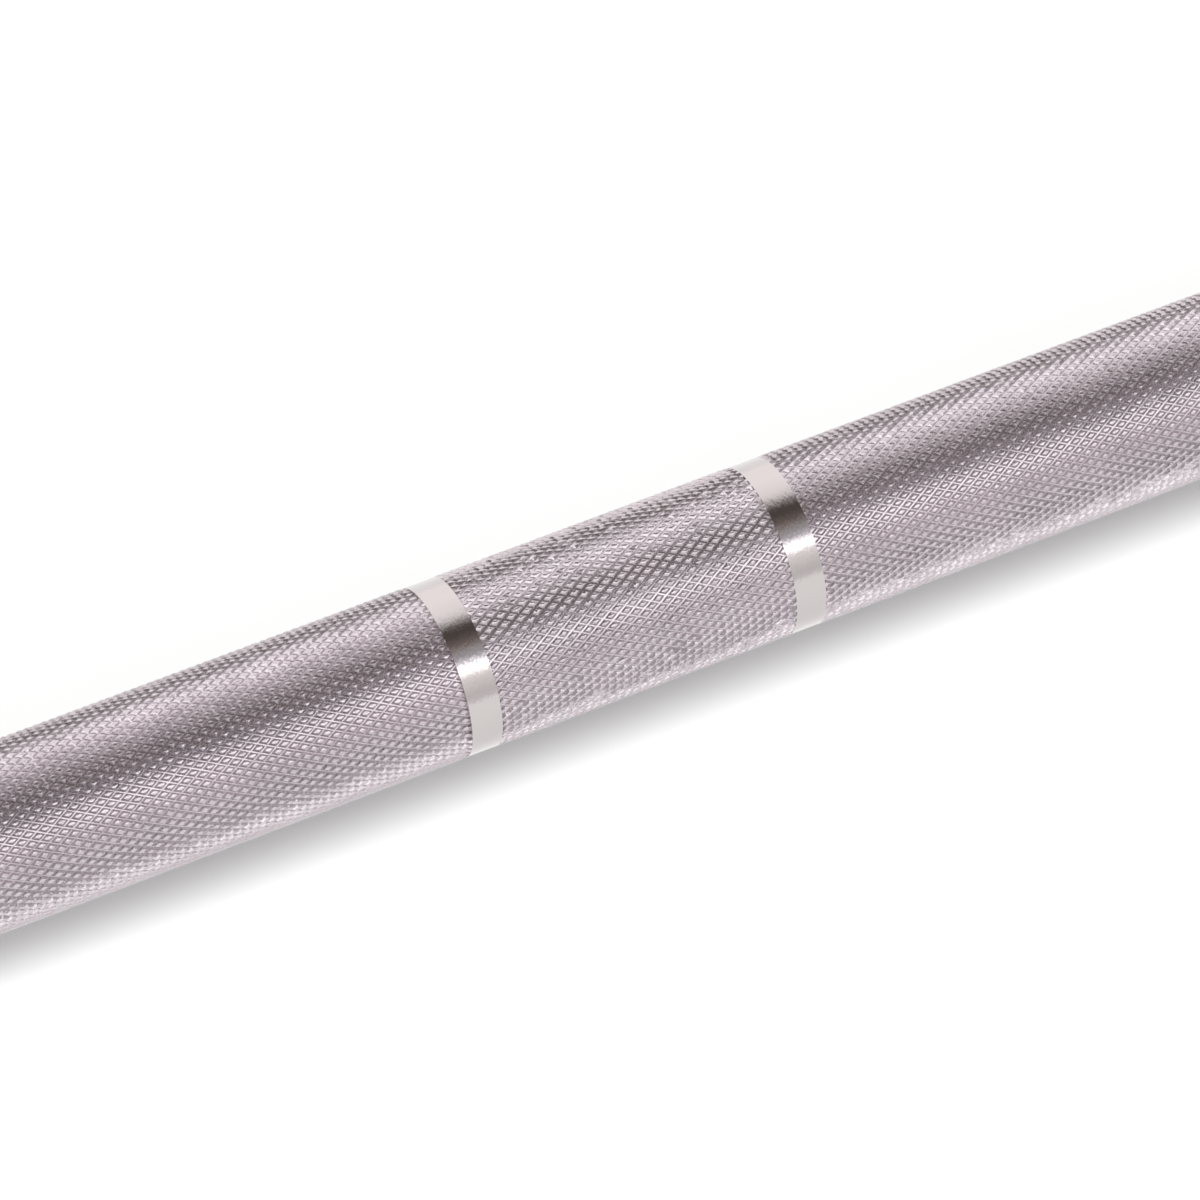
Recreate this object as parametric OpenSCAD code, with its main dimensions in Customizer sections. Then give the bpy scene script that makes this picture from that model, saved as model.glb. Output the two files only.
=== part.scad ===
// Olympic barbell with a 25 mm shaft and rotating sleeves on needle bearings and bronze bushings.
// Millimetres. The bar lies along X, its middle is at the origin and +Z is up.

/* [Grip] */
// Length of the shaft between the two collars
grip_length = 1310; // [1200:5:1340]
// Diameter of the smooth shaft
shaft_d = 25; // [24:0.5:28]
// Length of each knurled zone, from the collar inwards
knurl_length = 420; // [300:5:500]
// Height of the knurl's crests above the smooth shaft
knurl_rise = 0.1; // [0.05:0.05:0.3]
// Length of the taper at each edge of the knurl
knurl_runout = 0.3; // [0.1:0.1:1]
// Bare shaft between the knurl and the collar
knurl_end_gap = 2; // [1:0.5:10]
// Width of each smooth ring in the knurl
mark_width = 4.6; // [3:0.2:10]
// Distance between the inner pair of smooth rings, inside edge to inside edge
inner_marks = 810; // [600:5:850]
// Distance between the outer pair of smooth rings, inside edge to inside edge
outer_marks = 910; // [870:5:1000]

/* [Sleeves] */
// Length of each sleeve that takes plates
load_length = 320; // [200:5:420]
// Outer diameter of the sleeves
sleeve_d = 50; // [48:0.5:52]
// Bore of the sleeve between its bearing seats
relief_d = 33.5; // [31:0.5:38]
// Length of each cone where the relief bore narrows to a bearing seat
relief_cone = 4; // [2:0.5:8]
// Length of the lead taper at the sleeve's tip
lead_length = 4; // [1:0.5:8]
// How far the lead taper narrows the tip's radius
lead_drop = 1.5; // [0.5:0.25:2]
// Wall left at the tip beyond the end cap's retaining ring
tip_land = 2.2; // [1.5:0.1:4]

/* [Collars] */
// Width of each inner collar
collar_width = 30; // [25:1:40]
// Outer diameter of the collars
collar_d = 78; // [70:1:90]
// Rounding of the collar's rims
collar_edge = 3; // [1:0.5:5]
// Diameter of the sleeve's spigot inside the collar
spigot_d = 46; // [43:0.5:47]
// Thickness of the lip that covers the spigot's end
lip_thickness = 4; // [3:0.5:8]
// Bore of the lip round the shaft
lip_d = 30; // [29:0.5:33]
// Width of each of the two turned grooves round the collar
groove_width = 2.5; // [1:0.5:4]
// Depth of the turned grooves
groove_depth = 0.8; // [0.3:0.1:1.5]
// Distance between the turned grooves' centres
groove_spacing = 12; // [8:1:16]
// Width and depth of the seam where the collar's outer face meets the sleeve
seam = 0.5; // [0.3:0.1:1]

/* [Needle bearings] */
// Diameter of the shaft's journals inside the sleeves
journal_d = 22; // [20:0.5:23]
// Width of a bearing
bearing_width = 20; // [16:1:24]
// Nominal diameter of a needle
needle_d = 2; // [1.5:0.1:2.5]
// Play between a needle and each of its races
race_gap = 0.02; // [0.01:0.01:0.05]
// Spacing of the needles round the pitch circle
needle_spacing = 3.75; // [3.2:0.05:5]
// Wall of the bearing's drawn cup
cup_wall = 1; // [0.8:0.1:1.5]
// Thickness of the cup's inturned lips
cup_lip = 0.8; // [0.5:0.1:1.2]
// Wall of the cage
cage_wall = 1.2; // [0.8:0.1:1.4]
// Width of the rings at the cage's ends
cage_rim = 1.4; // [1:0.1:2]
// Play between the cage and the cup's lips, and round each needle in its window
cage_play = 0.15; // [0.1:0.05:0.3]
// Space between a bearing and the bushing beside it
bearing_gap = 2; // [1:0.5:5]

/* [Bushings and washers] */
// Length of the bushings without their flanges
bushing_length = 20; // [12:1:30]
// Diameter of the bushings' flanges
flange_d = 33; // [31:0.5:34]
// Thickness of the bushings' flanges
flange_thickness = 2.5; // [1.5:0.5:4]
// Running clearance between a bushing and its journal, on the radius
bushing_clearance = 0.03; // [0.01:0.01:0.08]
// Diameter of the thrust washers
washer_d = 31; // [29:0.5:33]
// Thickness of the thrust washers
washer_thickness = 1.5; // [1:0.25:3]
// Clearance of the washers round the journal, on the radius
washer_clearance = 0.15; // [0.1:0.05:0.3]
// End float of the sleeve, split between its two thrust faces
end_float = 0.5; // [0.3:0.1:1]
// Clearance of the flange in its recess, on the radius
recess_clearance = 0.5; // [0.25:0.25:1]

/* [Dust seal] */
// Width of the seal
seal_width = 5; // [4:0.5:8]
// Outer diameter of the seal
seal_d = 36; // [35.5:0.5:38]
// Thickness of the seal's outer ring
seal_rim = 2.6; // [1.5:0.1:3]
// Clearance of the seal's lip round the shaft, on the radius
seal_clearance = 0.05; // [0.02:0.01:0.1]
// Space between the seal and the shaft's shoulder
shoulder_gap = 1.2; // [1:0.1:3]

/* [Retaining rings] */
// Thickness of the ring on the shaft
shaft_ring_thickness = 1.2; // [1:0.1:1.75]
// Depth of its groove in the journal
shaft_ring_depth = 0.5; // [0.3:0.1:1]
// Thickness of the ring in the sleeve's tip
cap_ring_thickness = 1.75; // [1.2:0.05:2]
// Depth of its groove in the sleeve
cap_ring_depth = 1.25; // [0.8:0.05:1.5]
// Play of each ring along its groove
ring_play = 0.1; // [0.05:0.05:0.3]
// Shaft left beyond its ring
shaft_tail = 3; // [2:0.5:6]

/* [End caps] */
// Diameter of the end cap
cap_d = 40; // [38:0.5:42]
// Thickness of the end cap
cap_thickness = 6; // [5:0.5:10]
// Width of the shoulder that the end cap seats on
cap_seat = 1.5; // [1:0.25:2]
// Depth of the dish in the cap's face
cap_dish = 1.2; // [0.5:0.1:2]
// Width of the flat rim round the dish
cap_rim = 5; // [4:0.5:8]
// Space between the shaft's end and the cap
cap_gap = 5; // [3:0.5:10]
// Thickness of the cap's sealing ring
oring_d = 2; // [1.5:0.1:2.5]

/* [Hidden] */

// Faces of a full turn on large and on small pieces
turn_faces = 96;
small_faces = 48;
needle_faces = 24;
// Steps of a rounded rim
edge_steps = 6;
// Small bevels: on large pieces, and on bearing parts and washers
bevel = 0.8;
fine_bevel = 0.3;

// Colours of the pieces
shaft_colour = [0.71, 0.67, 0.69];
chrome_colour = [0.84, 0.85, 0.87];
bronze_colour = [0.72, 0.53, 0.30];
bearing_colour = [0.62, 0.63, 0.66];
cage_colour = [0.48, 0.47, 0.45];
spring_colour = [0.24, 0.24, 0.25];
rubber_colour = [0.09, 0.09, 0.10];

// Radii
shaft_r = shaft_d / 2;
journal_r = journal_d / 2;
sleeve_r = sleeve_d / 2;
collar_r = collar_d / 2;
spigot_r = spigot_d / 2;
race_r = journal_r + needle_d;
seat_r = race_r + cup_wall;
pitch_r = (journal_r + race_r) / 2;
recess_r = flange_d / 2 + recess_clearance;
cap_r = cap_d / 2;
chamber_r = cap_r - cap_seat;

// Places along a side, from the collar's inner face outwards
side_length = collar_width + load_length;
seal_back = lip_thickness + seal_width;
shoulder = seal_back + shoulder_gap;
inner_flange = shoulder + washer_thickness + end_float / 2;
inner_barrel = inner_flange + flange_thickness;
inner_bearing = inner_barrel + bushing_length + bearing_gap;
relief_start = inner_bearing + bearing_width + bearing_gap;
cap_ring_place = side_length - tip_land - cap_ring_thickness - ring_play;
cap_place = cap_ring_place - cap_thickness;
shaft_end = cap_place - cap_gap;
shaft_ring_place = shaft_end - shaft_tail - shaft_ring_thickness - ring_play;
thrust_place = shaft_ring_place - washer_thickness;
outer_barrel = thrust_place - end_float / 2 - flange_thickness;
outer_bearing = outer_barrel - bushing_length - bearing_gap - bearing_width;
relief_end = outer_bearing - bearing_gap;

// Knurled zones of one side, from the bar's middle outwards
knurl_start = grip_length / 2 - knurl_length;
knurl_stop = grip_length / 2 - knurl_end_gap;
knurl_zones = [
    [knurl_start, inner_marks / 2],
    [inner_marks / 2 + mark_width, outer_marks / 2],
    [outer_marks / 2 + mark_width, knurl_stop]
];

// Centre drilling in the shaft's ends, with a 60 degree cone
centre_r = 2.5;
centre_depth = centre_r / tan(30);

// Needles and their cage
needle_r = needle_d / 2 - race_gap;
needle_count = floor(2 * PI * pitch_r / needle_spacing);
cage_width = bearing_width - 2 * cup_lip - 2 * cage_play;
window_length = cage_width - 2 * cage_rim;
window_width = needle_d + 2 * cage_play;
needle_length = window_length - 2 * cage_play;
cup_lip_r = journal_r + needle_d / 2 - cage_wall / 4;

// Retaining rings: radial width opposite the gap and beside it, then lugs, their holes and the gap
shaft_ring_r = journal_r - shaft_ring_depth;
shaft_ring_wide = 3;
shaft_ring_narrow = 1.8;
shaft_lug_r = 1.8;
shaft_lug_hole_r = 1;
shaft_lug_angle = 17;
shaft_ring_gap = 3;
cap_ring_r = cap_r + cap_ring_depth;
cap_ring_wide = 3.6;
cap_ring_narrow = 2.4;
cap_lug_r = 2.2;
cap_lug_hole_r = 1.25;
cap_lug_angle = 12;
cap_ring_gap = 4;

// Sealing ring of the cap, held between its groove's floor and the sleeve's bore
oring_touch = 0.02;
oring_squeeze = 0.1;
oring_groove_r = cap_r - oring_d + oring_squeeze;
oring_r = (cap_r - oring_groove_r) / 2 - oring_touch;
oring_groove_width = oring_d * 1.3;
cap_slack = 0.05;

// Turns an outline of [place along the bar, radius] points about the bar's axis
module lathe(outline, faces = turn_faces) {
    rotate([0, 90, 0])
        rotate_extrude($fn = faces)
            polygon([for (p = outline) [p[1], p[0]]]);
}

// Extrudes a flat shape along the bar, with the shape's +Y upwards
module stamp(place, thickness) {
    translate([place, 0, 0])
        rotate([90, 0, 90])
            linear_extrude(thickness)
                children();
}

// Puts a piece drawn from the collar's inner face outwards on the left or the right of the bar
module on_left() {
    mirror([1, 0, 0]) on_right() children();
}

module on_right() {
    translate([grip_length / 2, 0, 0]) children();
}

// Quarter round of an outline, about [place, radius], from one angle to another
function round_rim(place, radius, edge, from, to) = [
    for (i = [0:edge_steps])
        let (a = from + (to - from) * i / edge_steps)
            [place + edge * cos(a), radius + edge * sin(a)]
];

// Outline of one turned groove round the collar, with sloping walls
function turned_groove(centre) = [
    [centre - groove_width / 2 - groove_depth, collar_r],
    [centre - groove_width / 2, collar_r - groove_depth],
    [centre + groove_width / 2, collar_r - groove_depth],
    [centre + groove_width / 2 + groove_depth, collar_r]
];

// Outline of one knurled zone, with a taper at each edge
function knurl_outline(zone) = [
    [zone[0], shaft_r],
    [zone[0] + knurl_runout, shaft_r + knurl_rise],
    [zone[1] - knurl_runout, shaft_r + knurl_rise],
    [zone[1], shaft_r]
];

// Mirrors half an outline to the other end of the bar, in the order that continues it
function other_end(half) = [for (i = [len(half) - 1:-1:0]) [-half[i][0], half[i][1]]];

// One end of the shaft: knurled zones, shoulder, journal, groove, end bevel and centre drilling
function shaft_half() =
    let (s = grip_length / 2)
    concat(
        [for (zone = knurl_zones) each knurl_outline(zone)],
        [
            [s + shoulder - fine_bevel, shaft_r],
            [s + shoulder, shaft_r - fine_bevel],
            [s + shoulder, journal_r],
            [s + shaft_ring_place, journal_r],
            [s + shaft_ring_place, shaft_ring_r],
            [s + shaft_end - shaft_tail, shaft_ring_r],
            [s + shaft_end - shaft_tail, journal_r],
            [s + shaft_end - bevel, journal_r],
            [s + shaft_end, journal_r - bevel],
            [s + shaft_end, centre_r],
            [s + shaft_end - centre_depth, 0]
        ]
    );

// The one-piece shaft
module shaft() {
    color(shaft_colour)
        lathe(concat(other_end(shaft_half()), shaft_half()));
}

// Sleeve tube: spigot, plate-bearing outside, and a stepped bore for everything that it holds
module sleeve() {
    color(chrome_colour)
        lathe([
            [lip_thickness, spigot_r - bevel],
            [lip_thickness + bevel, spigot_r],
            [collar_width, spigot_r],
            [collar_width, sleeve_r],
            [side_length - lead_length, sleeve_r],
            [side_length, sleeve_r - lead_drop],
            [side_length, cap_r + fine_bevel],
            [side_length - fine_bevel, cap_r],
            [side_length - tip_land, cap_r],
            [side_length - tip_land, cap_ring_r],
            [cap_ring_place, cap_ring_r],
            [cap_ring_place, cap_r],
            [cap_place, cap_r],
            [cap_place, chamber_r],
            [outer_barrel, chamber_r],
            [outer_barrel, seat_r],
            [relief_end, seat_r],
            [relief_end - relief_cone, relief_d / 2],
            [relief_start + relief_cone, relief_d / 2],
            [relief_start, seat_r],
            [inner_barrel, seat_r],
            [inner_barrel, recess_r],
            [seal_back, recess_r],
            [seal_back, seal_d / 2],
            [lip_thickness, seal_d / 2]
        ]);
}

// Collar ring pressed on the spigot, with rounded rims, two turned grooves and a lip round the shaft
module collar() {
    middle = collar_width / 2;
    color(chrome_colour)
        lathe(concat(
            [
                [lip_thickness, spigot_r],
                [lip_thickness, lip_d / 2],
                [bevel, lip_d / 2],
                [0, lip_d / 2 + bevel]
            ],
            round_rim(collar_edge, collar_r - collar_edge, collar_edge, 180, 90),
            turned_groove(middle - groove_spacing / 2),
            turned_groove(middle + groove_spacing / 2),
            round_rim(collar_width - collar_edge, collar_r - collar_edge, collar_edge, 90, 0),
            [
                [collar_width, sleeve_r + seam],
                [collar_width - seam, sleeve_r + seam],
                [collar_width - seam, spigot_r]
            ]
        ));
}

// Rubber seal with a slanted lip that wipes the smooth shaft
module dust_seal() {
    rim_r = seal_d / 2 - seal_rim;
    wiper_r = shaft_r + seal_clearance;
    wiper_tip = seal_width / 8;
    color(rubber_colour)
        lathe([
            [lip_thickness, seal_d / 2],
            [seal_back, seal_d / 2],
            [seal_back, rim_r],
            [seal_back - seal_width / 3, wiper_r],
            [seal_back - seal_width / 3 - wiper_tip, wiper_r],
            [seal_back - seal_width / 2, rim_r],
            [lip_thickness, rim_r]
        ]);
}

// Flat washer between the shaft's shoulder or ring and a bushing's flange
module washer(place) {
    bore_r = journal_r + washer_clearance;
    color(bearing_colour)
        lathe([
            [place, bore_r],
            [place, washer_d / 2 - fine_bevel],
            [place + fine_bevel, washer_d / 2],
            [place + washer_thickness - fine_bevel, washer_d / 2],
            [place + washer_thickness, washer_d / 2 - fine_bevel],
            [place + washer_thickness, bore_r]
        ]);
}

// Flanged bronze bushing: the flange starts at place and the barrel goes on in the given direction
module bushing(place, direction) {
    bore_r = journal_r + bushing_clearance;
    length = flange_thickness + bushing_length;
    color(bronze_colour)
        translate([place, 0, 0])
            lathe([
                for (p = [
                    [fine_bevel, bore_r],
                    [0, bore_r + fine_bevel],
                    [0, flange_d / 2 - fine_bevel],
                    [fine_bevel, flange_d / 2],
                    [flange_thickness, flange_d / 2],
                    [flange_thickness, seat_r],
                    [length - bevel, seat_r],
                    [length, seat_r - bevel / 2],
                    [length, bore_r + fine_bevel],
                    [length - fine_bevel, bore_r]
                ]) [direction * p[0], p[1]]
            ]);
}

// Drawn cup of a needle bearing, with its hardened race and inturned lips
module bearing_cup(place) {
    color(bearing_colour)
        translate([place, 0, 0])
            lathe([
                [0, cup_lip_r],
                [0, seat_r - fine_bevel],
                [fine_bevel, seat_r],
                [bearing_width - fine_bevel, seat_r],
                [bearing_width, seat_r - fine_bevel],
                [bearing_width, cup_lip_r],
                [bearing_width - cup_lip, cup_lip_r],
                [bearing_width - cup_lip, race_r],
                [cup_lip, race_r],
                [cup_lip, cup_lip_r]
            ]);
}

// Cage of a needle bearing: a thin ring with one window for each needle
module bearing_cage(place) {
    inside_r = pitch_r - cage_wall / 2;
    outside_r = pitch_r + cage_wall / 2;
    start = cup_lip + cage_play;
    color(cage_colour)
        translate([place, 0, 0])
            difference() {
                lathe([
                    [start, inside_r],
                    [start, outside_r],
                    [start + cage_width, outside_r],
                    [start + cage_width, inside_r]
                ]);
                for (i = [0:needle_count - 1])
                    rotate([360 * i / needle_count, 0, 0])
                        translate([start + cage_rim, -window_width / 2, inside_r / 2])
                            cube([window_length, window_width, outside_r]);
            }
}

// Needles of a bearing, each with bevelled ends, in the cage's windows
module bearing_needles(place) {
    start = (bearing_width - needle_length) / 2;
    color(bearing_colour)
        translate([place + start, 0, 0])
            for (i = [0:needle_count - 1])
                rotate([360 * i / needle_count, 0, 0])
                    translate([0, 0, pitch_r])
                        lathe([
                            [0, 0],
                            [0, needle_r - fine_bevel],
                            [fine_bevel, needle_r],
                            [needle_length - fine_bevel, needle_r],
                            [needle_length, needle_r - fine_bevel],
                            [needle_length, 0]
                        ], needle_faces);
}

// Two lugs of a retaining ring, one each side of its gap
module lugs(place_r, radius, angle) {
    for (side = [-1, 1])
        rotate(side * angle)
            translate([0, place_r])
                circle(r = radius, $fn = small_faces);
}

// Retaining ring in the journal's groove, widest opposite its gap
module shaft_circlip() {
    outside_r = shaft_ring_r + (shaft_ring_wide + shaft_ring_narrow) / 2;
    offset_y = (shaft_ring_wide - shaft_ring_narrow) / 2;
    lug_place = shaft_ring_r + shaft_lug_r;
    color(spring_colour)
        stamp(shaft_ring_place, shaft_ring_thickness)
            difference() {
                union() {
                    translate([0, -offset_y]) circle(r = outside_r, $fn = turn_faces);
                    lugs(lug_place, shaft_lug_r, shaft_lug_angle);
                }
                circle(r = shaft_ring_r, $fn = turn_faces);
                lugs(lug_place, shaft_lug_hole_r, shaft_lug_angle);
                translate([-shaft_ring_gap / 2, 0]) square([shaft_ring_gap, 2 * outside_r]);
            }
}

// Retaining ring in the sleeve's tip, with its lugs inwards
module cap_circlip() {
    inside_r = cap_ring_r - (cap_ring_wide + cap_ring_narrow) / 2;
    offset_y = (cap_ring_wide - cap_ring_narrow) / 2;
    lug_place = cap_ring_r - cap_ring_narrow - cap_lug_r / 2;
    color(spring_colour)
        stamp(cap_ring_place, cap_ring_thickness)
            difference() {
                union() {
                    difference() {
                        circle(r = cap_ring_r, $fn = turn_faces);
                        translate([0, offset_y]) circle(r = inside_r, $fn = turn_faces);
                    }
                    lugs(lug_place, cap_lug_r, cap_lug_angle);
                }
                lugs(lug_place, cap_lug_hole_r, cap_lug_angle);
                translate([-cap_ring_gap / 2, 0]) square([cap_ring_gap, 2 * cap_ring_r]);
            }
}

// End cap: a turned disc with a dished face, a hollow back and a groove for its sealing ring
module end_cap() {
    rim_r = cap_r - cap_slack;
    dish_r = cap_r - cap_rim;
    groove_start = (cap_thickness - oring_groove_width) / 2;
    hollow = cap_thickness / 4;
    color(chrome_colour)
        translate([cap_place, 0, 0])
            lathe([
                [hollow, 0],
                [hollow, dish_r - bevel],
                [0, dish_r],
                [0, rim_r - fine_bevel],
                [fine_bevel, rim_r],
                [groove_start, rim_r],
                [groove_start, oring_groove_r],
                [groove_start + oring_groove_width, oring_groove_r],
                [groove_start + oring_groove_width, rim_r],
                [cap_thickness, rim_r],
                [cap_thickness, dish_r],
                [cap_thickness - cap_dish, dish_r - 2 * cap_dish],
                [cap_thickness - cap_dish, 0]
            ]);
}

// Sealing ring in the end cap's groove
module cap_seal() {
    color(rubber_colour)
        translate([cap_place + cap_thickness / 2, 0, 0])
            rotate([0, 90, 0])
                rotate_extrude($fn = turn_faces)
                    translate([(cap_r + oring_groove_r) / 2, 0])
                        circle(r = oring_r, $fn = needle_faces);
}

shaft();
on_left() sleeve();  // left_sleeve
on_right() sleeve();  // right_sleeve
on_left() collar();  // left_collar
on_right() collar();  // right_collar
on_left() dust_seal();  // left_dust_seal
on_right() dust_seal();  // right_dust_seal
on_left() washer(shoulder);  // left_shoulder_washer
on_right() washer(shoulder);  // right_shoulder_washer
on_left() bushing(inner_flange, 1);  // left_inner_bushing
on_right() bushing(inner_flange, 1);  // right_inner_bushing
on_left() bushing(outer_barrel + flange_thickness, -1);  // left_outer_bushing
on_right() bushing(outer_barrel + flange_thickness, -1);  // right_outer_bushing
on_left() bearing_cup(inner_bearing);  // left_inner_bearing_cup
on_right() bearing_cup(inner_bearing);  // right_inner_bearing_cup
on_left() bearing_cup(outer_bearing);  // left_outer_bearing_cup
on_right() bearing_cup(outer_bearing);  // right_outer_bearing_cup
on_left() bearing_cage(inner_bearing);  // left_inner_bearing_cage
on_right() bearing_cage(inner_bearing);  // right_inner_bearing_cage
on_left() bearing_cage(outer_bearing);  // left_outer_bearing_cage
on_right() bearing_cage(outer_bearing);  // right_outer_bearing_cage
on_left() bearing_needles(inner_bearing);  // left_inner_bearing_needles
on_right() bearing_needles(inner_bearing);  // right_inner_bearing_needles
on_left() bearing_needles(outer_bearing);  // left_outer_bearing_needles
on_right() bearing_needles(outer_bearing);  // right_outer_bearing_needles
on_left() washer(thrust_place);  // left_thrust_washer
on_right() washer(thrust_place);  // right_thrust_washer
on_left() shaft_circlip();  // left_shaft_circlip
on_right() shaft_circlip();  // right_shaft_circlip
on_left() end_cap();  // left_end_cap
on_right() end_cap();  // right_end_cap
on_left() cap_seal();  // left_cap_seal
on_right() cap_seal();  // right_cap_seal
on_left() cap_circlip();  // left_cap_circlip
on_right() cap_circlip();  // right_cap_circlip
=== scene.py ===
import math

import bmesh
import bpy
import numpy as np
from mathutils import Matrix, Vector


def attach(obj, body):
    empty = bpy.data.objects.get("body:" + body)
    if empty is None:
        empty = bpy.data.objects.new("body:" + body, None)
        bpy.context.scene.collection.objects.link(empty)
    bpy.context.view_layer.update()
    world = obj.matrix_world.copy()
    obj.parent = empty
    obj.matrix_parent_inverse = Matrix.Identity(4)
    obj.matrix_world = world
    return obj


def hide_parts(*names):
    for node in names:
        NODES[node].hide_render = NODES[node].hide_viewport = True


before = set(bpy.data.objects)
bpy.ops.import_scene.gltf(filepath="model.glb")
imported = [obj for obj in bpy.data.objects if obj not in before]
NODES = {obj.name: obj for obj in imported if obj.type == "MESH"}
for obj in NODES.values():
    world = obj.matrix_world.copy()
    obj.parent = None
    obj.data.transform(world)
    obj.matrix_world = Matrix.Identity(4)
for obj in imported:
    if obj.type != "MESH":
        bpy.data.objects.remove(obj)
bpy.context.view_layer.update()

MM = 0.001
MICRON = 0.000001

# Shaft, in mm: radii and places along the bar
SHAFT_R = 12.5
JOURNAL_R = 11
SHOULDER = 665.2
RING_GROOVE = 985.65
RING_GROOVE_R = 10.5
RING_GROOVE_END = 986.95
SHAFT_END = 989.95
SMALL_BEVEL = 0.3
END_BEVEL = 0.8
CENTRE_R = 2.5
CENTRE_DEPTH = 4.33
KNURL_START = 235
INNER_MARK = 405
OUTER_MARK = 455
MARK_WIDTH = 4.6
KNURL_STOP = 653
KNURL_RISE = 0.1
KNURL_RUNOUT = 0.3
COLLAR_R = 39
# Turned stretches: faces round the bar, and degrees from which an edge reads as sharp
LATHE_FACES = 192
LATHE_EDGE_ANGLE = 25

# Knurl: tooth pitch along the bar in mm, and teeth round it
TOOTH_PITCH = 2.42
TEETH_ROUND = 56
# Teeth of each stretch: slopes of the walls of the deep and of the shallow groove in degrees,
# depths of both grooves and drop of the tops' corners in mm, half widths of both floors in pitches,
# and the angle in degrees from which an edge reads as sharp
TEETH = {
    "inner_knurl": {
        "deep_slopes": (62, 70), "shallow_slopes": (66, 62), "deep": 0.54, "shallow": 0.48,
        "crown": 0.105, "deep_floor": 0.07, "shallow_floor": 0.06, "edge_angle": 26,
    },
    "middle_knurl": {
        "deep_slopes": (74, 57), "shallow_slopes": (62, 62), "deep": 0.50, "shallow": 0.44,
        "crown": 0.10, "deep_floor": 0.11, "shallow_floor": 0.07, "edge_angle": 40,
    },
    "outer_knurl": {
        "deep_slopes": (69, 57), "shallow_slopes": (62, 59), "deep": 0.50, "shallow": 0.44,
        "crown": 0.08, "deep_floor": 0.09, "shallow_floor": 0.06, "edge_angle": 22,
    },
}
# Unevenness: drop of tops and floors in mm, and shift of every corner along the grooves in pitches
TOP_JITTER = 0.02
FLOOR_JITTER = 0.006
CORNER_JITTER = 0.04
# Run of the deep groove on the bar's right side, seen from the front
UP_RIGHT = 1
DOWN_RIGHT = -1
# Rows of teeth laid past both ends of a stretch, and reach of the cuts there in pitches
SPARE_ROWS = 4
CUT_REACH = 4

# Camera, in mm and degrees, with its clipping in m
TARGET = (431.38, 1.79, 0)
AZIMUTH = -25.84
ELEVATION = 50.73
DISTANCE = 993.6
FOCAL_LENGTH = 213.4
SENSOR_WIDTH = 36.0
CLIP_START = 0.01
CLIP_END = 200.0

# Key light: power, and size and height in degrees
KEY_POWER = 4.4
KEY_SIZE = 14
KEY_ELEVATION = 62

# Half the floor's width, in m
FLOOR_REACH = 60.0

# Light tent: degrees from the front over the top to the back, brightness and tint
PURE = (1.0, 1.0, 1.0)
WARM = (1.0, 0.965, 0.965)
LILAC = (1.0, 0.97, 1.05)
BROWN = (1.0, 0.83, 0.76)
TENT = [
    (0, 0.84, WARM), (9, 0.77, WARM), (16, 0.85, WARM), (23, 0.94, WARM), (29, 1.03, WARM),
    (34, 1.13, WARM), (38, 1.5, WARM), (41, 3.0, PURE), (47, 3.0, PURE), (51, 1.38, LILAC),
    (55, 0.74, LILAC), (60, 0.46, LILAC), (66, 0.46, WARM), (74, 0.27, BROWN), (81, 0.155, BROWN),
    (94, 0.078, BROWN), (101, 0.155, BROWN), (105.5, 0.34, WARM), (109.5, 0.66, WARM),
    (115, 1.02, WARM), (124, 1.2, WARM), (148, 1.32, WARM), (180, 1.26, WARM),
]


def keep_mesh(name, points, faces):
    """A new object at the origin, with its place in its mesh."""
    mesh = bpy.data.meshes.new(name)
    mesh.from_pydata(points, [], faces)
    piece = bpy.data.objects.new(name, mesh)
    bpy.context.scene.collection.objects.link(piece)
    return piece


def turned(name, outline):
    """A closed turned solid from [place along the bar, radius] points, with both ends on the axis."""
    turn = np.arange(LATHE_FACES) * 2 * math.pi / LATHE_FACES
    points = []
    rings = []
    for place, radius in outline:
        first = len(points)
        if radius == 0:
            points.append((place * MM, 0, 0))
            rings.append([first] * LATHE_FACES)
            continue
        for angle in turn:
            points.append((place * MM, radius * math.cos(angle) * MM, radius * math.sin(angle) * MM))
        rings.append(list(range(first, first + LATHE_FACES)))
    faces = []
    for left, right in zip(rings, rings[1:]):
        for i in range(LATHE_FACES):
            j = (i + 1) % LATHE_FACES
            # A ring on the axis is one point, so a face there is a triangle
            corners = dict.fromkeys([left[i], left[j], right[j], right[i]])
            faces.append(tuple(corners))
    piece = keep_mesh(name, points, faces)
    piece.data.polygons.foreach_set("use_smooth", [True] * len(faces))
    piece.data.set_sharp_from_angle(angle=math.radians(LATHE_EDGE_ANGLE))
    return piece


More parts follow.
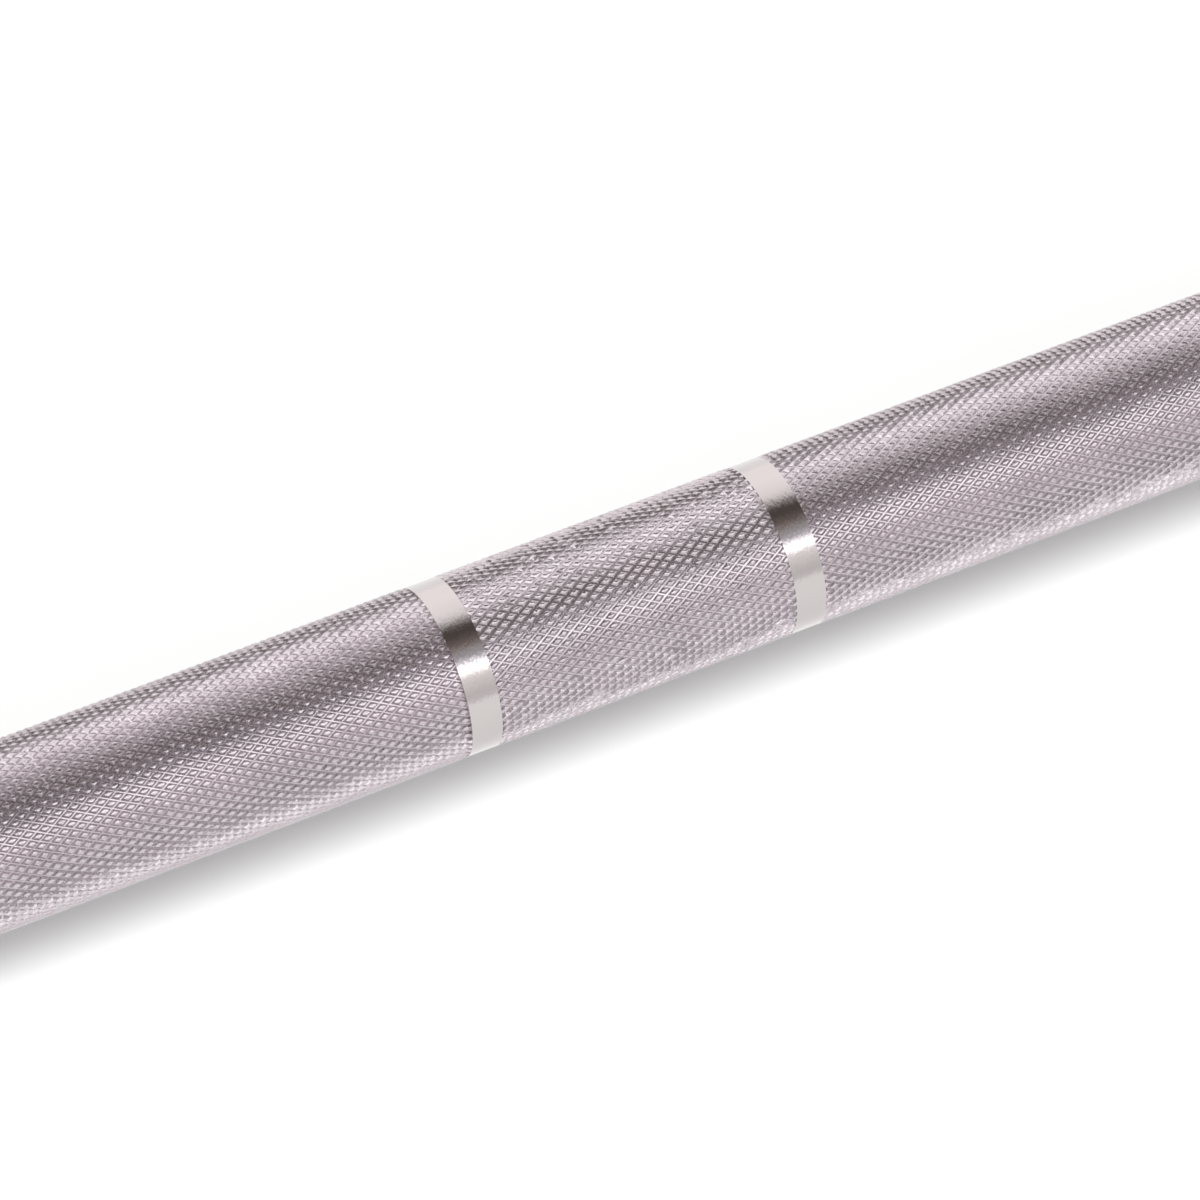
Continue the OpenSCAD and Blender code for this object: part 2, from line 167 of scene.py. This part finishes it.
def tooth_corners(tooth):
    """The eleven corners of a tooth: places across the deep and the shallow groove, and depth."""
    lead = math.atan2(2 * math.pi * SHAFT_R / TEETH_ROUND, TOOTH_PITCH)
    width = TOOTH_PITCH * math.sin(lead)

    def run(depth, slope):
        return depth / math.tan(math.radians(slope)) / width

    deep = tooth["deep"]
    shallow = tooth["shallow"]
    near_slope, far_slope = tooth["deep_slopes"]
    up_slope, down_slope = tooth["shallow_slopes"]
    floor = tooth["deep_floor"]
    shelf = tooth["shallow_floor"]
    near = floor + run(deep, near_slope)
    far = 1 - floor - run(deep, far_slope)
    up = shelf + run(shallow, up_slope)
    down = 1 - shelf - run(shallow, down_slope)
    near_shelf = near - run(shallow, near_slope)
    far_shelf = far + run(shallow, far_slope)
    crown = tooth["crown"]
    return {
        "right": (floor, 0, deep),
        "left": (-floor, 0, deep),
        "near_up": (near_shelf, shelf, shallow),
        "near_down": (near_shelf, -shelf, shallow),
        "far_up": (far_shelf, shelf, shallow),
        "far_down": (far_shelf, -shelf, shallow),
        "top_0": (near, up, crown),
        "top_1": (far, up, crown),
        "top_2": (far, down, crown),
        "top_3": (near, down, crown),
        "apex": ((near + far) / 2, (up + down) / 2, 0),
    }


def tooth_points(tooth, first, rows, hand, rng):
    """Points of all the teeth, kind by kind, row by row along the bar."""
    row = np.arange(rows)[:, None]
    column = np.arange(TEETH_ROUND)[None, :]
    points = []
    for deep_place, shallow_place, depth in tooth_corners(tooth).values():
        jitter = TOP_JITTER if depth <= tooth["crown"] else FLOOR_JITTER
        # The apex, at no depth, shifts twice as far as the other corners
        spread = CORNER_JITTER * (2 if depth == 0 else 1)
        drop = depth + jitter * rng.random((rows, TEETH_ROUND))
        across = deep_place + spread * (rng.random((rows, TEETH_ROUND)) - 0.5)
        beside = shallow_place + spread * (rng.random((rows, TEETH_ROUND)) - 0.5)
        along = (first + row + across + beside) / 2 * TOOTH_PITCH
        angle = hand * (column + (row % 2 + across - beside) / 2) * 2 * math.pi / TEETH_ROUND
        radius = SHAFT_R + KNURL_RISE - drop
        points.append(np.stack([along, radius * np.cos(angle), radius * np.sin(angle)], -1).reshape(-1, 3))
    return np.concatenate(points) * MM


def tooth_faces(tooth, rows):
    """Groove floors, walls and domed tops between the corners of neighbouring teeth."""
    row = np.arange(rows - 2)[:, None]
    column = np.arange(TEETH_ROUND)[None, :]
    odd = row % 2
    kinds = list(tooth_corners(tooth))

    def corner(kind, step):
        rows_on, columns_on = step
        number = kinds.index(kind) * rows + row + rows_on
        return number * TEETH_ROUND + (column + columns_on) % TEETH_ROUND

    here = (0, 0)
    past_deep = (1, odd)
    past_shallow = (1, odd - 1)
    past_both = (2, 0)
    shapes = [
        [("left", here), ("right", here), ("right", past_shallow), ("left", past_shallow)],
        [("near_down", here), ("far_down", here), ("far_up", here), ("near_up", here)],
        [("top_0", here), ("top_1", here), ("apex", here)],
        [("top_1", here), ("top_2", here), ("apex", here)],
        [("top_2", here), ("top_3", here), ("apex", here)],
        [("top_3", here), ("top_0", here), ("apex", here)],
        [("near_up", here), ("far_up", here), ("top_1", here), ("top_0", here)],
        [("top_3", here), ("top_2", here), ("far_down", past_shallow), ("near_down", past_shallow)],
        [("right", here), ("near_up", here), ("top_0", here), ("top_3", here),
         ("near_down", past_shallow), ("right", past_shallow)],
        [("far_up", here), ("left", past_deep), ("left", past_both), ("far_down", past_shallow),
         ("top_2", here), ("top_1", here)],
        [("right", here), ("near_down", here), ("near_up", here)],
        [("far_down", here), ("left", past_deep), ("far_up", here)],
    ]
    faces = []
    for shape in shapes:
        numbers = [corner(kind, step).ravel() for kind, step in shape]
        faces += np.stack(numbers, -1).tolist()
    return faces


def near_plane(shape, place):
    """The parts of a mesh within a few teeth of a plane across the bar."""
    reach = CUT_REACH * TOOTH_PITCH * MM
    points = [p for p in shape.verts if abs(p.co.x - place * MM) < reach]
    edges = {edge for p in points for edge in p.link_edges}
    faces = {face for p in points for face in p.link_faces}
    return points + sorted(edges, key=lambda e: e.index) + sorted(faces, key=lambda f: f.index)


def cut(shape, place, outward):
    """Cuts a mesh across the bar, clears what lies outward of the cut and returns its rim."""
    for parts in (shape.verts, shape.edges, shape.faces):
        parts.index_update()
    return bmesh.ops.bisect_plane(
        shape, geom=near_plane(shape, place), dist=MICRON,
        plane_co=(place * MM, 0, 0), plane_no=(outward, 0, 0), clear_outer=True
    )["geom_cut"]


def close_end(shape, rim, place):
    """Closes a cut end with a fan of triangles about the axis."""
    centre = shape.verts.new((place * MM, 0, 0))
    for edge in [part for part in rim if isinstance(part, bmesh.types.BMEdge)]:
        shape.faces.new((edge.verts[0], edge.verts[1], centre))


def limit_crests(shape, start, stop):
    """Tapers the crests down to the shaft's radius at each end of a knurled stretch."""
    for point in shape.verts:
        inside = min(point.co.x / MM - start, stop - point.co.x / MM)
        most = SHAFT_R + KNURL_RISE * min(max(inside / KNURL_RUNOUT, 0), 1)
        radius = math.hypot(point.co.y, point.co.z) / MM
        if radius > most:
            point.co.y *= most / radius
            point.co.z *= most / radius


def mark_edges(shape, edge_angle):
    """Marks the edges that read as sharp, and keeps the four that meet on top of each tooth smooth."""
    limit = math.radians(edge_angle)
    domes = {point for point in shape.verts if all(len(face.verts) == 3 for face in point.link_faces)}
    for edge in shape.edges:
        domed = edge.verts[0] in domes or edge.verts[1] in domes
        edge.smooth = domed or edge.calc_face_angle(0) < limit
    for face in shape.faces:
        face.smooth = True


def knurled(name, tooth, start, stop, hand, seed):
    """A closed knurled rod between two places, with a deep and a shallow family of crossing grooves."""
    # Rows lie half a pitch apart
    first = 2 * math.floor(start / TOOTH_PITCH) - SPARE_ROWS
    rows = math.ceil(2 * stop / TOOTH_PITCH) + SPARE_ROWS - first
    points = tooth_points(tooth, first, rows, hand, np.random.default_rng(seed))
    piece = keep_mesh(name, points.tolist(), tooth_faces(tooth, rows))
    shape = bmesh.new()
    shape.from_mesh(piece.data)
    left_rim = cut(shape, start, -1)
    right_rim = cut(shape, stop, 1)
    close_end(shape, left_rim, start)
    close_end(shape, right_rim, stop)
    loose = [point for point in shape.verts if not point.link_faces]
    bmesh.ops.delete(shape, geom=loose, context="VERTS")
    limit_crests(shape, start, stop)
    bmesh.ops.recalc_face_normals(shape, faces=shape.faces)
    mark_edges(shape, tooth["edge_angle"])
    shape.to_mesh(piece.data)
    shape.free()
    return piece


def plug(start, stop):
    """Outline of a plain stretch of the shaft."""
    return [[start, 0], [start, SHAFT_R], [stop, SHAFT_R], [stop, 0]]


def end_outline():
    """Outline of the shaft's end: neck, shoulder, journal, retaining groove, bevel and centre drilling."""
    return [
        [KNURL_STOP, 0],
        [KNURL_STOP, SHAFT_R],
        [SHOULDER - SMALL_BEVEL, SHAFT_R],
        [SHOULDER, SHAFT_R - SMALL_BEVEL],
        [SHOULDER, JOURNAL_R],
        [RING_GROOVE, JOURNAL_R],
        [RING_GROOVE, RING_GROOVE_R],
        [RING_GROOVE_END, RING_GROOVE_R],
        [RING_GROOVE_END, JOURNAL_R],
        [SHAFT_END - END_BEVEL, JOURNAL_R],
        [SHAFT_END, JOURNAL_R - END_BEVEL],
        [SHAFT_END, CENTRE_R],
        [SHAFT_END - CENTRE_DEPTH, 0],
    ]


def other_side(outline):
    """The same outline on the bar's other side, in order along the bar."""
    return [[-place, radius] for place, radius in reversed(outline)]


def build_shaft():
    """The shaft in stretches: plain middle, and on each side knurl, ring, knurl, ring, knurl and end."""
    inner_end = INNER_MARK + MARK_WIDTH
    outer_end = OUTER_MARK + MARK_WIDTH
    smooth = [turned("shaft_middle", plug(-KNURL_START, KNURL_START))]
    rough = []
    for side, sign in (("left", -1), ("right", 1)):
        for name, outline in (
            ("inner_ring", plug(INNER_MARK, inner_end)),
            ("outer_ring", plug(OUTER_MARK, outer_end)),
            ("end", end_outline()),
        ):
            if sign < 0:
                outline = other_side(outline)
            smooth.append(turned(f"shaft_{side}_{name}", outline))
        for name, start, stop, hand, seed in (
            ("inner_knurl", KNURL_START, INNER_MARK, DOWN_RIGHT, 3),
            ("middle_knurl", inner_end, OUTER_MARK, UP_RIGHT, 5),
            ("outer_knurl", outer_end, KNURL_STOP, UP_RIGHT, 7),
        ):
            place = sorted((sign * start, sign * stop))
            piece = knurled(f"shaft_{side}_{name}", TEETH[name], *place, sign * hand, seed + sign)
            rough.append(piece)
    return smooth, rough


def lay_stops(ramp, stops):
    """Sets a colour ramp's stops from pairs of a position and a colour."""
    parts = ramp.color_ramp.elements
    while len(parts) < len(stops):
        parts.new(1.0)
    for part, (position, colour) in zip(parts, stops):
        part.position = position
        part.color = (*colour, 1.0)


class Paint:
    """Nodes of one material, laid out in code."""

    def __init__(self, name):
        self.material = bpy.data.materials.new(name)
        self.material.use_nodes = True
        self.tree = self.material.node_tree
        self.shader = self.tree.nodes["Principled BSDF"]
        self.place = self.add("ShaderNodeTexCoord").outputs["Object"]

    def add(self, kind):
        """A new node."""
        return self.tree.nodes.new(kind)

    def join(self, source, target):
        """A link from an output to an input."""
        self.tree.links.new(source, target)

    def scaled(self, scale):
        """Object coordinates in metres, scaled by a number for each axis."""
        node = self.add("ShaderNodeMapping")
        self.join(self.place, node.inputs["Vector"])
        node.inputs["Scale"].default_value = scale
        return node.outputs["Vector"]

    def noise(self, scale, detail=3.0, roughness=0.55, vector=None):
        """Noise with features of 1/scale metres, or scaled for each axis."""
        node = self.add("ShaderNodeTexNoise")
        if isinstance(scale, tuple):
            self.join(self.scaled(scale), node.inputs["Vector"])
            node.inputs["Scale"].default_value = 1.0
        else:
            self.join(vector or self.place, node.inputs["Vector"])
            node.inputs["Scale"].default_value = scale
        node.inputs["Detail"].default_value = detail
        node.inputs["Roughness"].default_value = roughness
        return node.outputs["Fac"]

    def patches(self, scale, low, high, levels=(0.3, 0.7)):
        """A colour that drifts between two, at levels of a noise in patches of 1/scale metres."""
        node = self.add("ShaderNodeValToRGB")
        self.join(self.noise(scale), node.inputs["Fac"])
        lay_stops(node, list(zip(levels, (low, high))))
        return node.outputs["Color"]

    def between(self, source, low, high):
        """A number from 0 to 1 brought to another range."""
        node = self.add("ShaderNodeMapRange")
        self.join(source, node.inputs["Value"])
        node.inputs["To Min"].default_value = low
        node.inputs["To Max"].default_value = high
        return node.outputs["Result"]

    def bump(self, height, depth):
        """Bumps of a depth in metres."""
        node = self.add("ShaderNodeBump")
        self.join(height, node.inputs["Height"])
        node.inputs["Distance"].default_value = depth
        return node.outputs["Normal"]

    def shaded(self, **sockets):
        """The material, with an output or a plain value on each of the shader's named sockets."""
        for name, value in sockets.items():
            socket = self.shader.inputs[name.replace("_", " ")]
            if isinstance(value, bpy.types.NodeSocket):
                self.join(value, socket)
            else:
                socket.default_value = value
        return self.material


def knurl_paint():
    """Matt chromed steel of the knurl, with fine tool marks."""
    paint = Paint("knurled_chrome")
    grains = paint.noise(5200.0, detail=4.0)
    return paint.shaded(
        Base_Color=paint.patches(90.0, (0.58, 0.536, 0.562), (0.63, 0.583, 0.61)),
        Metallic=1.0,
        Roughness=paint.between(grains, 0.21, 0.31),
        Normal=paint.bump(grains, 40 * MICRON),
    )


def ring_paint():
    """Turned chrome of the smooth stretches, with fine streaks round the bar."""
    paint = Paint("turned_chrome")
    streaks = paint.noise((3800.0, 1100.0, 1100.0), detail=3.0, roughness=0.6)
    return paint.shaded(
        Base_Color=paint.patches(70.0, (0.575, 0.54, 0.535), (0.60, 0.56, 0.56)),
        Metallic=1.0,
        Roughness=paint.between(streaks, 0.06, 0.20),
        Normal=paint.bump(streaks, 40 * MICRON),
    )


def chrome_paint(name, low, high, depth):
    """Bright chrome over fine turning marks."""
    paint = Paint(name)
    streaks = paint.noise((5000.0, 40.0, 40.0), detail=4.0, roughness=0.7)
    return paint.shaded(
        Base_Color=paint.patches(30.0, low, high),
        Metallic=1.0,
        Roughness=paint.between(streaks, 0.10, 0.22),
        Normal=paint.bump(streaks, depth),
    )


def faced_paint():
    """Faced steel of the end caps, with rings of turning marks about the axis."""
    paint = Paint("faced_steel")
    parts = paint.add("ShaderNodeSeparateXYZ")
    paint.join(paint.place, parts.inputs["Vector"])
    flat = paint.add("ShaderNodeCombineXYZ")
    paint.join(parts.outputs["Y"], flat.inputs["X"])
    paint.join(parts.outputs["Z"], flat.inputs["Y"])
    length = paint.add("ShaderNodeVectorMath")
    length.operation = "LENGTH"
    paint.join(flat.outputs["Vector"], length.inputs[0])
    spread = paint.add("ShaderNodeCombineXYZ")
    paint.join(length.outputs["Value"], spread.inputs["X"])
    rings = paint.noise(4000.0, detail=3.0, vector=spread.outputs["Vector"])
    return paint.shaded(
        Base_Color=paint.patches(120.0, (0.50, 0.50, 0.515), (0.58, 0.58, 0.595)),
        Metallic=1.0,
        Roughness=paint.between(rings, 0.18, 0.34),
        Normal=paint.bump(rings, 12 * MICRON),
    )


def bronze_paint():
    """Oiled sintered bronze with open pores."""
    paint = Paint("sintered_bronze")
    grains = paint.noise(2600.0, detail=6.0)
    return paint.shaded(
        Base_Color=paint.patches(150.0, (0.52, 0.33, 0.15), (0.66, 0.45, 0.23)),
        Metallic=1.0,
        Roughness=paint.between(grains, 0.30, 0.55),
        Normal=paint.bump(grains, 20 * MICRON),
    )


def ground_paint():
    """Ground bearing steel with faint streaks round the axis."""
    paint = Paint("ground_steel")
    streaks = paint.noise((7000.0, 90.0, 90.0), detail=3.0)
    return paint.shaded(
        Base_Color=paint.patches(200.0, (0.50, 0.51, 0.53), (0.60, 0.61, 0.63)),
        Metallic=1.0,
        Roughness=paint.between(streaks, 0.16, 0.28),
        Normal=paint.bump(streaks, 4 * MICRON),
    )


def phosphate_paint(name, low, high):
    """Phosphated steel: dark, matt and finely crystalline."""
    paint = Paint(name)
    grains = paint.noise(6000.0, detail=6.0)
    return paint.shaded(
        Base_Color=paint.patches(400.0, low, high),
        Metallic=0.6,
        Roughness=paint.between(grains, 0.42, 0.62),
        Normal=paint.bump(grains, 12 * MICRON),
    )


def rubber_paint():
    """Matt black nitrile rubber with a fine moulded grain."""
    paint = Paint("nitrile_rubber")
    grains = paint.noise(4500.0, detail=5.0)
    return paint.shaded(
        Base_Color=paint.patches(300.0, (0.020, 0.020, 0.022), (0.032, 0.032, 0.034)),
        Roughness=paint.between(grains, 0.55, 0.75),
        Normal=paint.bump(grains, 20 * MICRON),
    )


def dress_shaft(smooth, rough):
    """Gives every stretch of the shaft its material and body, and hides the shaft node that it replaces.
    """
    for pieces, paint in ((smooth, ring_paint()), (rough, knurl_paint())):
        for piece in pieces:
            piece.data.materials.append(paint)
            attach(piece, "bar")
            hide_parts("shaft")


def dress_nodes():
    """Gives every other CAD node its material: ground steel, where nothing else is named."""
    ground = ground_paint()
    bronze = bronze_paint()
    rubber = rubber_paint()
    cage = phosphate_paint("phosphated_cage", (0.10, 0.095, 0.09), (0.15, 0.145, 0.14))
    spring = phosphate_paint("black_spring", (0.022, 0.022, 0.025), (0.04, 0.04, 0.045))
    paints = {
        "sleeve": chrome_paint("sleeve_chrome", (0.57, 0.565, 0.575), (0.62, 0.615, 0.625), 12 * MICRON),
        "collar": chrome_paint("collar_chrome", (0.54, 0.535, 0.545), (0.60, 0.595, 0.605), 15 * MICRON),
        "end_cap": faced_paint(),
        "inner_bushing": bronze,
        "outer_bushing": bronze,
        "dust_seal": rubber,
        "cap_seal": rubber,
        "inner_bearing_cage": cage,
        "outer_bearing_cage": cage,
        "shaft_circlip": spring,
        "cap_circlip": spring,
    }
    for name, node in NODES.items():
        if name == "shaft":
            continue
        kind = name.split("_", 1)[1]
        node.data.materials.clear()
        node.data.materials.append(paints.get(kind, ground))


def toward(azimuth, elevation):
    """Unit vector from the object towards a direction, with azimuth 0 in front and 90 on the right."""
    a = math.radians(azimuth)
    e = math.radians(elevation)
    return Vector((math.sin(a) * math.cos(e), -math.cos(a) * math.cos(e), math.sin(e)))


def build_floor():
    """A large pale floor under the collars."""
    height = -COLLAR_R * MM
    signs = ((-1, -1), (1, -1), (1, 1), (-1, 1))
    corners = [(x * FLOOR_REACH, y * FLOOR_REACH, height) for x, y in signs]
    floor = keep_mesh("floor", corners, [(0, 1, 2, 3)])
    paint = Paint("pale_floor")
    floor.data.materials.append(paint.shaded(
        Base_Color=paint.patches(40.0, (0.525, 0.532, 0.53), (0.535, 0.542, 0.54), levels=(0.0, 1.0)),
        Roughness=0.9,
        Specular_IOR_Level=0.0,
    ))


def build_tent():
    """A light tent round the bar: pale walls, a bright strip in front and a dark slot overhead."""
    world = bpy.data.worlds.new("tent")
    world.use_nodes = True
    bpy.context.scene.world = world
    tree = world.node_tree

    def worked_out(operation, *sources):
        node = tree.nodes.new("ShaderNodeMath")
        node.operation = operation
        for socket, source in zip(node.inputs, sources):
            if isinstance(source, bpy.types.NodeSocket):
                tree.links.new(source, socket)
            else:
                socket.default_value = source
        return node.outputs["Value"]

    place = tree.nodes.new("ShaderNodeTexCoord")
    parts = tree.nodes.new("ShaderNodeSeparateXYZ")
    tree.links.new(place.outputs["Generated"], parts.inputs["Vector"])
    front = worked_out("MULTIPLY", parts.outputs["Y"], -1.0)
    angle = worked_out("ARCTAN2", parts.outputs["Z"], front)
    half_turns = worked_out("DIVIDE", angle, math.pi)
    ramp = tree.nodes.new("ShaderNodeValToRGB")
    tree.links.new(half_turns, ramp.inputs["Fac"])
    lay_stops(ramp, [(degrees / 180, [level * part for part in tint]) for degrees, level, tint in TENT])
    tree.links.new(ramp.outputs["Color"], tree.nodes["Background"].inputs["Color"])


def build_key():
    """A soft key light from in front and above, for the floor and its shadows only."""
    data = bpy.data.lights.new("key", "SUN")
    data.energy = KEY_POWER
    data.angle = math.radians(KEY_SIZE)
    light = bpy.data.objects.new("key", data)
    light.rotation_mode = "QUATERNION"
    light.rotation_quaternion = toward(0, KEY_ELEVATION).to_track_quat("Z", "Y")
    light.visible_glossy = False
    bpy.context.scene.collection.objects.link(light)


def build_camera():
    """The photograph's camera."""
    data = bpy.data.cameras.new("camera")
    data.lens = FOCAL_LENGTH
    data.sensor_width = SENSOR_WIDTH
    data.clip_start = CLIP_START
    data.clip_end = CLIP_END
    camera = bpy.data.objects.new("camera", data)
    back = toward(AZIMUTH, ELEVATION)
    camera.location = Vector(TARGET) * MM + back * DISTANCE * MM
    camera.rotation_mode = "QUATERNION"
    camera.rotation_quaternion = (-back).to_track_quat("-Z", "Y")
    bpy.context.scene.collection.objects.link(camera)
    bpy.context.scene.camera = camera


smooth_pieces, rough_pieces = build_shaft()
dress_shaft(smooth_pieces, rough_pieces)
dress_nodes()
build_floor()
build_tent()
build_key()
build_camera()
bpy.context.scene.view_settings.view_transform = "Standard"
